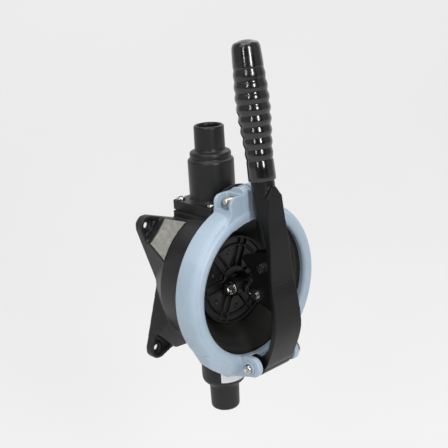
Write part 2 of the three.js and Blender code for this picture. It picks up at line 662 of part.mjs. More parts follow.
// Radius of the grip's rib crests at t along it: slim at the ends and fullest past the middle.
function gripSwell(t) {
  return t < 62 ? THREE.MathUtils.lerp(11, 13.8, THREE.MathUtils.smoothstep(t, 12, 62))
    : THREE.MathUtils.lerp(13.8, 12, THREE.MathUtils.smoothstep(t, 62, 100));
}

// Dipped vinyl grip with rounded finger ribs and a domed end.
function grip() {
  const { length, ribs, pitch, firstRib } = GRIP;
  const ribEnd = firstRib + ribs * pitch;
  const profile = [[0, 0], [10.6, 0], [11.1, 0.8], [11.1, 8], [10.9, firstRib]];
  for (let i = 0; i < ribs; i += 1) {
    const t = firstRib + i * pitch;
    const crest = gripSwell(t + pitch / 2);
    const depth = THREE.MathUtils.mapLinear(i, 0, ribs - 1, 1.0, 0.5);
    profile.push([crest - depth * 0.3, t + pitch * 0.22], [crest, t + pitch / 2],
      [crest - depth * 0.3, t + pitch * 0.78], [gripSwell(t + pitch) - depth, t + pitch]);
  }
  profile.push([12, ribEnd + 2], [11.5, length - 8.5], [11, length - 5], [9.6, length - 2.6],
    [6.4, length - 1.1], [3, length - 0.3], [0, length]);
  const outer = turnedZ(profile, 20, 0, 0);
  const socket = turnedZ([
    [0, -2], [STEM.r + GAP, -2], [STEM.r + GAP, STEM.top + GAP], [STEM.boreR, STEM.top + 3],
    [STEM.boreR, STEM.rodTop + GAP], [0, STEM.rodTop + GAP],
  ], 28, 0, 0);
  return alongHandle(cut(outer, socket));
}

piece('grip', grip(), VINYL);

// ---------------------------------------------------------------- pins of the lever

function hingePin() {
  const { y, z, r } = HINGE;
  const shank = rodX(r, [-LUG.outer - 1.6, LUG.outer + 6.4], y, z, 24);
  return join(shank, rodX(5, [-LUG.outer - 4.2, -LUG.outer - 1.5], y, z, 24));
}

function hingeBush(side) {
  const span = (near, far) => [Math.min(side * near, side * far), Math.max(side * near, side * far)];
  const { y, z, r } = HINGE;
  const flange = rodX(8, span(16 + GAP, LUG.inner - GAP), y, z, 28);
  const sleeve = rodX(r + 1.6, span(12.4, 18), y, z, 24);
  return cut(join(flange, sleeve), rodX(r + 0.2, [-30, 30], y, z, 24));
}

piece('hinge_pin', hingePin(), STEEL);
piece('hinge_washer_left', washerX(6, 4.2, [-LUG.outer - 1.2, -LUG.outer - GAP], HINGE.y, HINGE.z), STEEL);
piece('hinge_washer_right', washerX(6, 4.2, [LUG.outer + GAP, LUG.outer + 1.2], HINGE.y, HINGE.z), STEEL);
piece('hinge_nut', hexNutX(6.6, 4.2, [LUG.outer + 1.5, LUG.outer + 6], HINGE.y, HINGE.z), STEEL);
piece('hinge_bush_left', hingeBush(-1), NYLON);
piece('hinge_bush_right', hingeBush(1), NYLON);

function linkPin() {
  const { y, z, r } = LINK_PIN;
  const reach = LEVER.ribOuter + 3;
  return join(rodX(r, [-reach, LEVER.ribOuter + 0.5], y, z),
    rodX(4.6, [LEVER.ribOuter + GAP, LEVER.ribOuter + 2.3], y, z));
}

piece('link_pin', linkPin(), STEEL);
const clipX = [-LEVER.ribOuter - 1.4, -LEVER.ribOuter - GAP];
piece('link_pin_clip', washerX(5.2, 3.2, clipX, LINK_PIN.y, LINK_PIN.z), STEEL);

function ribBolt() {
  const { y, z, r } = RIB_BOLT;
  const face = LEVER.ribOuter + GAP;
  return join(rodX(r, [-face - 0.2, face + 3.6], y, z), rodX(4.2, [-face - 2.4, -face], y, z, 6));
}

piece('rib_bolt', ribBolt(), STEEL);
const ribNutX = [LEVER.ribOuter + GAP, LEVER.ribOuter + 3.4];
piece('rib_nut', hexNutX(4.6, 2.7, ribNutX, RIB_BOLT.y, RIB_BOLT.z), STEEL);

// ---------------------------------------------------------------- blank labels

// Foil plate on the shoulder of the upper foot on the -X side.
function ratingPlate() {
  const inside = shoulderCone(GAP + 0.2);
  const outside = shoulderCone(GAP + 1);
  const quarter = block([-80, -4], [-40, 0], [4, 80]);
  const barrel = rodY(BARREL.rearR + 0.7, 0, [-40, 1], 0, FINE);
  const clear = block([-25.6, 26], [-60, 0], [38, 80]);
  return outside.subtract(inside)
    .intersect(plateXZ(footOutline(0.8), [-30, 0], 6))
    .intersect(footRootSquare([-30, 0]))
    .intersect(quarter)
    .subtract(barrel)
    .subtract(clear);
}

// Paper label on the front of the inlet collar.
function tailLabel() {
  const band = cut(rodZ(COLLAR_R + 0.75, 0, PORT_Y, [-94.5, -81], 48),
    rodZ(COLLAR_R + GAP, 0, PORT_Y, [-97, -79], 48));
  return band.intersect(block([-15, 14], [-60, PORT_Y], [-97, -79]));
}

piece('rating_plate', ratingPlate(), FOIL);
piece('tail_label', tailLabel(), PAPER);

export default pump;
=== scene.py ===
"""Looks for the hand-operated diaphragm bilge pump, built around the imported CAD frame.

Shapes are drawn in millimetres in the CAD's own frame: the mounting face is at Y = 0, the pump
stands out of it towards -Y, and Z is up. Every mesh is scaled to metres as it is made.
"""
import json
from math import acos, atan2, cos, hypot, pi, radians, sin, tan

import bmesh
import bpy
from mathutils import Matrix, Vector


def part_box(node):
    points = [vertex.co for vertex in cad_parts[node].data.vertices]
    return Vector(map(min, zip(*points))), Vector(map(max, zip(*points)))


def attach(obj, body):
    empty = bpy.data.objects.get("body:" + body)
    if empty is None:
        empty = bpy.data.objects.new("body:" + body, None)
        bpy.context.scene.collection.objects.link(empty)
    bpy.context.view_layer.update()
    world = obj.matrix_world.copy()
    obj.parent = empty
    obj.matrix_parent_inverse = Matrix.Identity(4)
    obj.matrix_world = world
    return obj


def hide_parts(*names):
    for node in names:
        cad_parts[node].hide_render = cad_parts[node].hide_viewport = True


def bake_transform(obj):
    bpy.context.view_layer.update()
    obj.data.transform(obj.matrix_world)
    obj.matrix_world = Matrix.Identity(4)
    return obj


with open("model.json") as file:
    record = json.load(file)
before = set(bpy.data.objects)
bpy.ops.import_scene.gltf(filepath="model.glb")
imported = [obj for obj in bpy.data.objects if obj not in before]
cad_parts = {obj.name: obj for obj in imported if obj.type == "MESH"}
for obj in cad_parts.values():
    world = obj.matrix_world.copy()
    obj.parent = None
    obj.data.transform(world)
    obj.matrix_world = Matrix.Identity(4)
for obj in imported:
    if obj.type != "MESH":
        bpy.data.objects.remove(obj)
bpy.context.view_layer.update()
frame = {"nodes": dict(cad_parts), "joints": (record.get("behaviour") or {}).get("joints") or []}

MM = 0.001
NODES = frame["nodes"]


# ---------------------------------------------------------------- places taken from the frame

def box_mm(node):
    low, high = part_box(node)
    return low / MM, high / MM


def middle(node):
    low, high = box_mm(node)
    return (low + high) / 2


def joint_centre(name):
    joint = next(j for j in frame["joints"] if j["name"] == name)
    return Vector(joint["pos_m"]) / MM


GAP = 0.3                                   # clearance that the CAD leaves between pieces
BODY_LOW, BODY_HIGH = box_mm("pump_body")
TAIL_LOW, TAIL_HIGH = box_mm("outlet_tail")
PORT_Y = middle("outlet_tail").y            # both hose tails stand on this line
RING_R = box_mm("clamp_ring")[1].x          # outer radius of the clamp ring
RING_BACK = box_mm("clamp_ring")[1].y
LIP_R = BODY_HIGH.x                         # body flange inside the ring
LIP_FRONT = BODY_LOW.y
HINGE = joint_centre("lever_swing")
LINK_PIN = joint_centre("link_swing")
CLAMP = middle("clamp_nut")                 # the clamp bolt lies along X through this point
PLATE_PIN = middle("plate_pin_nut")
RIB_BOLT = middle("rib_nut")
HINGE_PIN_R = 4                             # the pin through the ring's lugs and the lever
LUG_OUT = -box_mm("hinge_washer_left")[1].x - GAP    # outer face of the ring's hinge lugs
LUG_IN = -box_mm("hinge_bush_left")[0].x + GAP


# ---------------------------------------------------------------- mesh making

def new_object(name, mesh):
    piece = bpy.data.objects.new(name, mesh)
    bpy.context.scene.collection.objects.link(piece)
    return piece


def object_from(name, points, faces):
    """A mesh object from points in millimetres, its faces turned outwards."""
    mesh = bpy.data.meshes.new(name)
    mesh.from_pydata([tuple(c * MM for c in p) for p in points], [], faces)
    bm = bmesh.new()
    bm.from_mesh(mesh)
    bmesh.ops.recalc_face_normals(bm, faces=bm.faces)
    bm.to_mesh(mesh)
    bm.free()
    return new_object(name, mesh)


# How each axis's (across, across, along) turns into X, Y and Z.
PLACE = {
    "X": lambda u, v, t: (t, u, v),
    "Y": lambda u, v, t: (u, t, v),
    "Z": lambda u, v, t: (u, v, t),
}


def lathe(name, profile, axis="Z", centre=(0, 0), segments=128, start=0.0, sweep=2 * pi):
    """A turned solid. profile is [(radius, along)], from axis to axis or closed on itself."""
    whole = abs(sweep - 2 * pi) < 1e-9
    closed = profile[0] == profile[-1]
    rows = profile[:-1] if closed else profile
    steps = segments if whole else segments + 1
    points, index = [], []
    for radius, along in rows:
        if radius < 1e-6:
            index.append([len(points)] * steps)
            points.append(PLACE[axis](centre[0], centre[1], along))
            continue
        ring = []
        for k in range(steps):
            a = start + sweep * k / segments
            ring.append(len(points))
            u, v = centre[0] + radius * cos(a), centre[1] + radius * sin(a)
            points.append(PLACE[axis](u, v, along))
        index.append(ring)
    faces = []
    for i in range(len(rows) if closed else len(rows) - 1):
        one, two = index[i], index[(i + 1) % len(rows)]
        for k in range(segments):
            m = (k + 1) % steps
            face = [one[k], one[m], two[m], two[k]]
            faces.append(tuple(dict.fromkeys(face)))
    if not whole:
        faces += [tuple(dict.fromkeys(row[end] for row in index)) for end in (0, -1)]
    return object_from(name, points, [f for f in faces if len(f) > 2])


def prism(name, outline, axis, low, high):
    """An outline in the two directions across axis, made thick from low to high along it."""
    n = len(outline)
    points = [PLACE[axis](u, v, t) for t in (low, high) for u, v in outline]
    faces = [tuple(range(n)), tuple(range(n, 2 * n))]
    faces += [(i, (i + 1) % n, n + (i + 1) % n, n + i) for i in range(n)]
    return object_from(name, points, faces)


def rod(name, radius, axis, low, high, centre, segments=48):
    return lathe(name, [(0, low), (radius, low), (radius, high), (0, high)], axis, centre, segments)


def block(name, x, y, z):
    """A box; x, y and z are each (low, high)."""
    return prism(name, [(x[0], y[0]), (x[1], y[0]), (x[1], y[1]), (x[0], y[1])], "Z", z[0], z[1])


def rounded(points, radius, steps=6):
    """The outline with its corners turned into arcs. radius is one number or one for each corner."""
    out = []
    n = len(points)
    for i, corner in enumerate(points):
        r = radius if isinstance(radius, (int, float)) else radius[i]
        p = Vector(corner)
        to_last = (Vector(points[i - 1]) - p).normalized()
        to_next = (Vector(points[(i + 1) % n]) - p).normalized()
        half = acos(max(-1, min(1, to_last.dot(to_next)))) / 2
        if r <= 0 or half > radians(88):
            out.append(tuple(p))
            continue
        reach = r / tan(half)
        centre = p + (to_last + to_next).normalized() * r / sin(half)
        a = p + to_last * reach - centre
        b = p + to_next * reach - centre
        a0 = atan2(a.y, a.x)
        turn = (atan2(b.y, b.x) - a0 + pi) % (2 * pi) - pi
        out += [tuple(centre + Vector((cos(a0 + turn * k / steps), sin(a0 + turn * k / steps))) * r)
                for k in range(steps + 1)]
    return out


def rectangle(half_u, half_v, corner, u=0.0, v=0.0):
    """Outline of a rectangle round (u, v) with rounded corners."""
    signs = [(-1, -1), (1, -1), (1, 1), (-1, 1)]
    return rounded([(u + i * half_u, v + j * half_v) for i, j in signs], corner)


def curve_through(points, steps):
    """Points on a smooth curve through the given ones (Catmull-Rom)."""
    given = [Vector(p) for p in points]
    ends = [2 * given[0] - given[1], *given, 2 * given[-1] - given[-2]]
    out = []
    for i in range(1, len(ends) - 2):
        a, b, c, d = ends[i - 1:i + 3]
        for k in range(steps):
            t = k / steps
            out.append(tuple(0.5 * (2 * b + (c - a) * t + (2 * a - 5 * b + 4 * c - d) * t ** 2
                                    + (3 * b - a - 3 * c + d) * t ** 3)))
    return out + [tuple(points[-1])]


def apply_modifiers(piece):
    """Turns the piece's modifiers into its mesh."""
    bpy.context.view_layer.update()
    shaped = bpy.data.meshes.new_from_object(piece.evaluated_get(bpy.context.evaluated_depsgraph_get()))
    old = piece.data
    piece.modifiers.clear()
    piece.data = shaped
    bpy.data.meshes.remove(old)
    return piece


def boolean(piece, other, operation):
    step = piece.modifiers.new(operation, "BOOLEAN")
    step.operation = operation
    step.object = other
    step.solver = "MANIFOLD"
    apply_modifiers(piece)
    bpy.data.objects.remove(other)
    return piece


def join(piece, *others):
    for other in others:
        boolean(piece, other, "UNION")
    return piece


def cut(piece, *tools):
    for tool in tools:
        boolean(piece, tool, "DIFFERENCE")
    return piece


def smooth_shading(piece, sharp=None):
    """Smooth shading, with edges sharper than this many degrees kept crisp."""
    mesh = piece.data
    mesh.polygons.foreach_set("use_smooth", [True] * len(mesh.polygons))
    if sharp:
        mesh.set_sharp_from_angle(angle=radians(sharp))
    mesh.update()
    return piece


def moulded(piece, voxel=0.7, passes=6):
    """Melts the joined shapes into one moulding with small fillets."""
    skin = piece.modifiers.new("skin", "REMESH")
    skin.mode = "VOXEL"
    skin.voxel_size = voxel * MM
    soften = piece.modifiers.new("soften", "SMOOTH")
    soften.factor = 0.5
    soften.iterations = passes
    return smooth_shading(apply_modifiers(piece))


def bevelled(piece, width=0.3, segments=2, angle=35):
    """Small rounds, width in millimetres, on the edges sharper than angle."""
    edge = piece.modifiers.new("edge", "BEVEL")
    edge.width = width * MM
    edge.segments = segments
    edge.limit_method = "ANGLE"
    edge.angle_limit = radians(angle)
    edge.harden_normals = True
    return smooth_shading(piece, angle)


def finished(piece, body, slot, material, *replaced):
    """Puts the material on a piece, and makes it ride on its body and stand for its CAD nodes."""
    piece.data.materials.clear()
    piece.data.materials.append(material)
    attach(piece, body)
    if replaced:
        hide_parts(*replaced)
    return piece


# ---------------------------------------------------------------- materials

class Shader:
    """A Principled material and short ways to wire its nodes."""

    def __init__(self, name, colour, roughness, metallic=0.0, coat=0.0, specular=0.5):
        self.material = bpy.data.materials.new(name)
        self.material.use_nodes = True
        self.tree = self.material.node_tree
        self.surface = self.tree.nodes["Principled BSDF"]
        self.set(self.surface, {
            "Base Color": (*colour, 1), "Roughness": roughness, "Metallic": metallic,
            "Coat Weight": coat, "Coat Roughness": 0.12, "Specular IOR Level": specular,
        })
        self.place = self.node("ShaderNodeTexCoord").outputs["Object"]

    @staticmethod
    def set(node, values):
        for key, value in values.items():
            node.inputs[key].default_value = value

    def node(self, kind, inputs=None, **settings):
        made = self.tree.nodes.new(kind)
        for key, value in settings.items():
            setattr(made, key, value)
        self.set(made, inputs or {})
        return made

    def link(self, output, socket):
        self.tree.links.new(output, socket)

    def noise(self, scale, detail=3.0, roughness=0.55, stretch=(1, 1, 1)):
        mapping = self.node("ShaderNodeMapping", {"Scale": stretch})
        self.link(self.place, mapping.inputs["Vector"])
        noise = self.node("ShaderNodeTexNoise", {"Scale": scale, "Detail": detail, "Roughness": roughness})
        self.link(mapping.outputs["Vector"], noise.inputs["Vector"])
        return noise.outputs["Fac"]

    def spread(self, value, low, high, start=0.3, end=0.7):
        """value, from start to end, as a number from low to high."""
        limits = {"From Min": start, "From Max": end, "To Min": low, "To Max": high}
        ramp = self.node("ShaderNodeMapRange", limits)
        self.link(value, ramp.inputs["Value"])
        return ramp.outputs["Result"]

    def vary_colour(self, value, first, second, start=0.35, end=0.65):
        """The base colour goes from first to second as value goes from start to end."""
        ramp = self.node("ShaderNodeValToRGB")
        stops = ramp.color_ramp.elements
        stops[0].position, stops[0].color = start, (*first, 1)
        stops[1].position, stops[1].color = end, (*second, 1)
        self.link(value, ramp.inputs["Fac"])
        self.link(ramp.outputs["Color"], self.surface.inputs["Base Color"])

    def vary_roughness(self, value, low, high):
        self.link(self.spread(value, low, high), self.surface.inputs["Roughness"])

    def bumps(self, *layers):
        """Each layer is (height output, strength, depth in millimetres)."""
        normal = None
        for height, strength, depth in layers:
            bump = self.node("ShaderNodeBump", {"Strength": strength, "Distance": depth * MM})
            self.link(height, bump.inputs["Height"])
            if normal:
                self.link(normal, bump.inputs["Normal"])
            normal = bump.outputs["Normal"]
        self.link(normal, self.surface.inputs["Normal"])


def black_plastic(name, colour, roughness, grain=0.12, specular=0.32):
    """Glass-filled plastic: even black with a fine satin grain and faint flow marks."""
    shader = Shader(name, colour, roughness, specular=specular)
    fine = shader.noise(1400, 2)
    flow = shader.noise(45, 4, stretch=(1, 1, 0.35))
    shader.vary_colour(flow, tuple(c * 0.82 for c in colour), tuple(c * 1.25 for c in colour))
    shader.vary_roughness(flow, roughness - 0.05, roughness + 0.07)
    shader.bumps((flow, 0.05, 0.4), (fine, grain, 0.12))
    return shader.material


def ring_plastic():
    """Pale blue-grey moulding with a lightly stippled, satin surface."""
    base = (0.34, 0.425, 0.505)
    shader = Shader("ring_blue_grey", base, 0.42)
    Shader.set(shader.surface, {
        "Subsurface Weight": 0.12, "Subsurface Radius": (0.5, 0.7, 1.0), "Subsurface Scale": 2 * MM,
    })
    stipple = shader.noise(900, 2)
    cloud = shader.noise(30, 4)
    shader.vary_colour(cloud, (0.315, 0.395, 0.475), (0.365, 0.455, 0.535))
    shader.vary_roughness(cloud, 0.36, 0.48)
    shader.bumps((cloud, 0.04, 0.4), (stipple, 0.18, 0.1))
    return shader.material


def vinyl():
    """Glossy dip-coated vinyl with slight waves in its skin."""
    shader = Shader("grip_vinyl", (0.006, 0.006, 0.006), 0.13, coat=0.4)
    waves = shader.noise(110, 3)
    shader.vary_colour(shader.noise(40, 3), (0.005, 0.005, 0.005), (0.009, 0.009, 0.009))
    shader.vary_roughness(waves, 0.12, 0.24)
    shader.bumps((waves, 0.12, 0.5))
    return shader.material


def rubber(name, tint):
    """Matt rubber with a dusty bloom and a fine pebble."""
    shader = Shader(name, tint, 0.62, specular=0.4)
    bloom = shader.noise(35, 5)
    shader.vary_colour(bloom, tuple(c * 0.8 for c in tint), tuple(c * 1.35 for c in tint))
    shader.vary_roughness(bloom, 0.5, 0.72)
    shader.bumps((shader.noise(750, 2), 0.2, 0.15))
    return shader.material


def bright_metal(name, colour, roughness, stretch=(0.08, 1, 1)):
    """Turned or rolled metal, brushed along one direction."""
    shader = Shader(name, colour, roughness, metallic=1.0)
    brushed = shader.noise(900, 4, stretch=stretch)
    tarnish = shader.noise(160, 4)
    shader.vary_colour(tarnish, tuple(c * 0.72 for c in colour), colour)
    shader.vary_roughness(brushed, roughness - 0.08, roughness + 0.16)
    shader.bumps((brushed, 0.12, 0.08))
    return shader.material


def coated_paper(name, colour, roughness):
    """Pale coated paper, very slightly clouded."""
    shader = Shader(name, colour, roughness)
    cloud = shader.noise(60, 4)
    shader.vary_colour(cloud, tuple(c * 0.93 for c in colour), colour)
    shader.vary_roughness(cloud, roughness - 0.06, roughness + 0.08)
    shader.bumps((shader.noise(600, 2), 0.08, 0.1))
    return shader.material


def foil():
    """Dull silver foil, faintly mottled and rolled along its length."""
    shader = Shader("label_foil", (0.2, 0.2, 0.17), 0.5)
    mottle = shader.noise(260, 5)
    shader.vary_colour(mottle, (0.15, 0.15, 0.128), (0.22, 0.22, 0.19))
    shader.vary_roughness(shader.noise(90, 3), 0.4, 0.62)
    shader.bumps((mottle, 0.1, 0.15))
    return shader.material


BODY_BLACK = black_plastic("body_black", (0.0125, 0.0127, 0.0135), 0.42)
TAIL_BLACK = black_plastic("tail_black", (0.0095, 0.0096, 0.0099), 0.36, grain=0.08)
LEVER_BLACK = black_plastic("lever_black", (0.0045, 0.0047, 0.0044), 0.34, specular=0.25)
PLATE_BLACK = black_plastic("plate_black", (0.006, 0.0062, 0.006), 0.38)
RING_BLUE = ring_plastic()
GRIP_VINYL = vinyl()
SHEET_RUBBER = rubber("diaphragm_rubber", (0.0065, 0.0068, 0.0055))
GASKET_RUBBER = rubber("gasket_rubber", (0.011, 0.011, 0.011))
STEEL = bright_metal("stainless_steel", (0.56, 0.55, 0.52), 0.22)
PALE_BRASS = bright_metal("passivated_metal", (0.72, 0.66, 0.53), 0.32)
PAPER = coated_paper("label_paper", (0.72, 0.73, 0.75), 0.5)
FOIL = foil()


# ---------------------------------------------------------------- pump body

FOOT_TIP_R = 8.8
FOOT_WAIST = 45.5           # how far the base reaches between two feet
FOOT_HOLES = [(54, 54), (-54, 54), (-54, -57), (54, -57)]
FOOT_HOLE_R = 2.75
FOOT_FRONT = -7.5
FOOT_RIM = 3                # wall round each foot's tray; the tray's floor is as thick
FOOT_PAD_R, FOOT_PAD_FRONT = 5.4, -4.2
FOOT_ROOT = 70              # the feet's trays begin this far from the axis
SHOULDER_Y = -23.1          # the barrel is round in front of this
BARREL_R = 60
BARREL_FRONT_R = 63.5
BARREL_FRONT = -54
BOWL_BACK_R = 46
LIP_BACK = -58.3            # the flange inside the ring begins here
CHAMBER_BACK = -6
CHAMBER_FRONT = LIP_FRONT - 1
BODY_WALL = 4
BLOCK_HALF = (TAIL_HIGH.x - TAIL_LOW.x) / 2
BLOCK_TOP = box_mm("outlet_gasket")[0].z - GAP
PORT_R = 12.5
COLLAR_R = 19.4             # the wide part of both hose tails
SMALL_R = 12.6              # the part that takes the hose
BORE_R = 9.75


def star(inset, steps=10):
    """Outline of the four-footed base: rounded tips joined by straight edges to the waists."""
    radius, waist = FOOT_TIP_R - inset, FOOT_WAIST - inset
    waists = [(waist, 0), (0, waist), (-waist, 0), (0, -waist)]
    points = []
    for i, (x, z) in enumerate(FOOT_HOLES):
        before, after = waists[i], waists[(i + 1) % 4]
        points.append(before)
        start = atan2(before[1] - z, before[0] - x) + acos(radius / hypot(before[0] - x, before[1] - z))
        end = atan2(after[1] - z, after[0] - x) - acos(radius / hypot(after[0] - x, after[1] - z))
        turn = (end - start) % (2 * pi)
        points += [(x + radius * cos(start + turn * k / steps), z + radius * sin(start + turn * k / steps))
                   for k in range(steps + 1)]
    return points


def root_square(name, low, high):
    """A square on its corner, whose sides cut the feet off from the round body."""
    reach = FOOT_ROOT * 2 ** 0.5
    return prism(name, [(reach, 0), (0, reach), (-reach, 0), (0, -reach)], "Y", low, high)


def feet():
    """The four-footed base, with a rim round each foot's shallow tray."""
    tray = prism("tray", star(FOOT_RIM), "Y", FOOT_FRONT - 1, -FOOT_RIM)
    cut(tray, root_square("square", FOOT_FRONT - 2, 0))
    return cut(prism("feet", star(0), "Y", FOOT_FRONT, 0), tray)


def foot_root():
    """Where the feet run into the barrel: the star, within a cone and a square."""
    root = prism("root", star(0), "Y", SHOULDER_Y, 0)
    shoulder = lathe("shoulder", [
        (0, SHOULDER_Y), (BARREL_R, SHOULDER_Y), (BARREL_R - SHOULDER_Y, 0), (0, 0)], "Y")
    boolean(root, shoulder, "INTERSECT")
    return boolean(root, root_square("square", SHOULDER_Y - 1, 1), "INTERSECT")


def inlet():
    """The inlet's hose tail, which hangs from the body."""
    return lathe("inlet", [
        (0, -40), (COLLAR_R, -40), (COLLAR_R, -95.5), (COLLAR_R - 0.7, -97.7), (COLLAR_R - 2.2, -99.6),
        (COLLAR_R - 4.4, -101.2), (SMALL_R + 0.9, -102.2), (SMALL_R + 0.6, -104), (SMALL_R + 0.2, -124),
        (SMALL_R - 1, BODY_LOW.z), (0, BODY_LOW.z)], "Z", (0, PORT_Y), 96)


def pump_body():
    """Bowl, feet, the outlet's square seat and the inlet tail, in one moulding."""
    bowl = lathe("body_shell", [
        (0, 0), (BOWL_BACK_R, 0), (BARREL_R, SHOULDER_Y), (BARREL_R + 0.5, SHOULDER_Y - 4),
        (BARREL_FRONT_R, BARREL_FRONT), (BARREL_FRONT_R, LIP_BACK), (LIP_R, LIP_BACK), (LIP_R, LIP_FRONT),
        (0, LIP_FRONT),
    ], "Y")
    pads = [rod("boss", FOOT_PAD_R, "Y", FOOT_PAD_FRONT, 0, at) for at in FOOT_HOLES]
    seat = prism("seat", rectangle(BLOCK_HALF, BLOCK_HALF, 1.2, 0, PORT_Y), "Z", 38, BLOCK_TOP)
    keeper = rod("keeper", 35, "Y", -55.7, -53.5, (0, 50), 96)
    boolean(keeper, block("band", (-21.5, 21.5), (-60, -50), (50, 90)), "INTERSECT")
    join(bowl, foot_root(), feet(), *pads, seat, keeper, inlet())

    chamber = lathe("chamber", [
        (0, CHAMBER_BACK), (BOWL_BACK_R - BODY_WALL, CHAMBER_BACK), (BARREL_R - BODY_WALL, SHOULDER_Y),
        (BARREL_FRONT_R - 5.5, CHAMBER_FRONT), (0, CHAMBER_FRONT)], "Y")
    inlet_bore = lathe("bore", [
        (0, -44), (15.8, -44), (15.8, -95), (BORE_R, -99.5), (BORE_R, -140), (0, -140)], "Z", (0, PORT_Y), 64)
    outlet_port = rod("port", PORT_R, "Z", 30, BLOCK_TOP + 1, (0, PORT_Y), 64)
    flange_room = block("room", (-BLOCK_HALF - GAP, BLOCK_HALF + GAP),
                        (TAIL_LOW.y - GAP, TAIL_HIGH.y + GAP), (BLOCK_TOP, 75))
    holes = [rod("hole", FOOT_HOLE_R, "Y", -12, 2, at, 32) for at in FOOT_HOLES]
    cut(bowl, chamber, inlet_bore, outlet_port, flange_room, *holes)
    moulded(bowl, 0.75, 5)
    return finished(bowl, "housing", "body_plastic", BODY_BLACK, "pump_body")


# ---------------------------------------------------------------- outlet

FLANGE_TOP = 69.2
SCREW_NODES = [f"flange_screw_{i}" for i in range(1, 5)]


def outlet_tail():
    """Square flange and stepped hose tail, with a bore right through."""
    top = TAIL_HIGH.z
    outline = rectangle(BLOCK_HALF, BLOCK_HALF, 2.6, 0, PORT_Y)
    flange = prism("outlet_moulding", outline, "Z", TAIL_LOW.z, FLANGE_TOP)
    tail = lathe("tail", [
        (0, 62), (COLLAR_R + 0.7, 62), (COLLAR_R + 0.6, 69.8), (COLLAR_R, 71.4), (COLLAR_R, 102.4),
        (COLLAR_R - 0.5, 103.6), (COLLAR_R - 1.9, 104.5), (COLLAR_R - 2.6, 105.3), (COLLAR_R - 2.1, 106.2),
        (COLLAR_R - 2.1, 108.6), (COLLAR_R - 2.7, 109.9), (COLLAR_R - 4.2, 110.6), (SMALL_R + 0.9, 111),
        (SMALL_R + 0.3, 112), (SMALL_R + 0.1, 114), (SMALL_R, top - 1),
        (SMALL_R - 1, top), (0, top)], "Z", (0, PORT_Y))
    bore = lathe("bore", [
        (0, 50), (16, 50), (16, 101), (BORE_R, 109), (BORE_R, top - 1.4), (BORE_R + 1.2, top + 1),
        (0, top + 1)], "Z", (0, PORT_Y), 96)
    join(flange, tail)
    cut(flange, bore)
    moulded(flange, 0.42, 2)
    return finished(flange, "housing", "body_plastic", TAIL_BLACK, "outlet_tail")


def flange_screw(node):
    """Pan-head screw with a cross-slot, as long as the CAD's."""
    low, high = box_mm(node)
    x, y, foot = (low.x + high.x) / 2, (low.y + high.y) / 2, low.z
    seat = FLANGE_TOP + GAP
    thread = [(1.9 if k % 2 else 1.5, foot + 2 + k * 0.5) for k in range(24)]
    head = [(3.7, seat), (3.75, seat + 0.8), (3.4, seat + 1.5), (2.4, seat + 2.1), (1.2, seat + 2.35),
            (0, seat + 2.4)]
    screw = lathe(node + "_piece", [(0, foot), (1.2, foot), *thread, (2, seat), *head], "Z", (x, y), 40)
    wide, narrow, depth = 2.3, 0.4, (seat + 1, seat + 4)
    slot = join(block("slot", (x - wide, x + wide), (y - narrow, y + narrow), depth),
                block("slot", (x - narrow, x + narrow), (y - wide, y + wide), depth))
    cut(screw, slot)
    bevelled(screw, 0.12, 2, 40)
    return finished(screw, "housing", "steel", STEEL, node)


# ---------------------------------------------------------------- clamp ring

RING_FRONT = -77.8
RING_INNER = 58.6           # radius of the lip's inner edge
GROOVE_R = 69               # the groove inside, which takes the body's flange and the sheet's bead
SPLIT = 0.75                # half the width of the split between the ears
EAR_FRONT = -77
EAR_TOP = 82
BOLT_HOLE_R = 3.3
POCKET_X = (12, 25)         # the hollow in the top of each ear
POCKET_Y = (-73.6, -59)
LUG_Y, LUG_Z, LUG_R = -90, -60.5, 8.5


def ring_section():
    """Outside of the ring, from its rear edge round the front to the lip's inner edge."""
    return [
        (60, RING_BACK), (RING_R - 1, RING_BACK), (RING_R - 0.2, RING_BACK - 0.6), (RING_R, RING_BACK - 2),
        (RING_R, -64), (RING_R - 0.4, -68), (RING_R - 1, -71), (RING_R - 2, -73.6), (RING_R - 3.2, -75.2),
        (RING_R - 4.6, -75.6), (RING_R - 5.2, -76.6), (RING_R - 6.6, -77.5), (RING_R - 9, RING_FRONT),
        (RING_INNER + 3.2, RING_FRONT + 0.2), (RING_INNER + 1.2, RING_FRONT + 1.2),
        (RING_INNER + 0.2, RING_FRONT + 3), (RING_INNER - 5, RING_FRONT + 5), (60, RING_BACK),
    ]


def ear(side):
    """Half of the split clamp: a block that narrows outwards, and a rounded hump beside the split."""
    wall = rounded([(0, 55), (31, 55), (31, 60), (25.2, 68), (24.4, EAR_TOP), (0, EAR_TOP)],
                   [0, 0, 0, 8, 6, 0])
    body = prism("ear", [(side * x, z) for x, z in wall], "Y", EAR_FRONT + 0.5, RING_BACK)
    swell = rounded([(-76.8, 60), (-58, 60), (-58, 81), (-64, 86.4), (-71, 87.6), (-76.8, 84)],
                    [0, 0, 2, 5, 5, 3])
    hump = prism("hump", swell, "X", *sorted((0, side * 10)))
    slope = prism("slope", [(side * 7.5, 90), (side * 14, 90), (side * 14, 80.5)], "Y", -80, -54)
    cut(hump, slope)
    return join(body, hump)


def hinge_lug(side):
    """A tongue that stands forward from the ring, with a round end for the lever's pin."""
    low, high = sorted((side * LUG_IN, side * LUG_OUT))
    y, z = LUG_Y, LUG_Z
    outline = [(-60, -66), (RING_BACK, -78), (y, z - 8.4), (y, z + 8.4), (-78.5, z + 8), (-74, z + 2)]
    tongue = prism("lug", rounded(outline, [0, 2, 0, 0, 3, 0]), "X", low, high)
    return join(tongue, rod("end", LUG_R, "X", low, high, (y, z), 64))


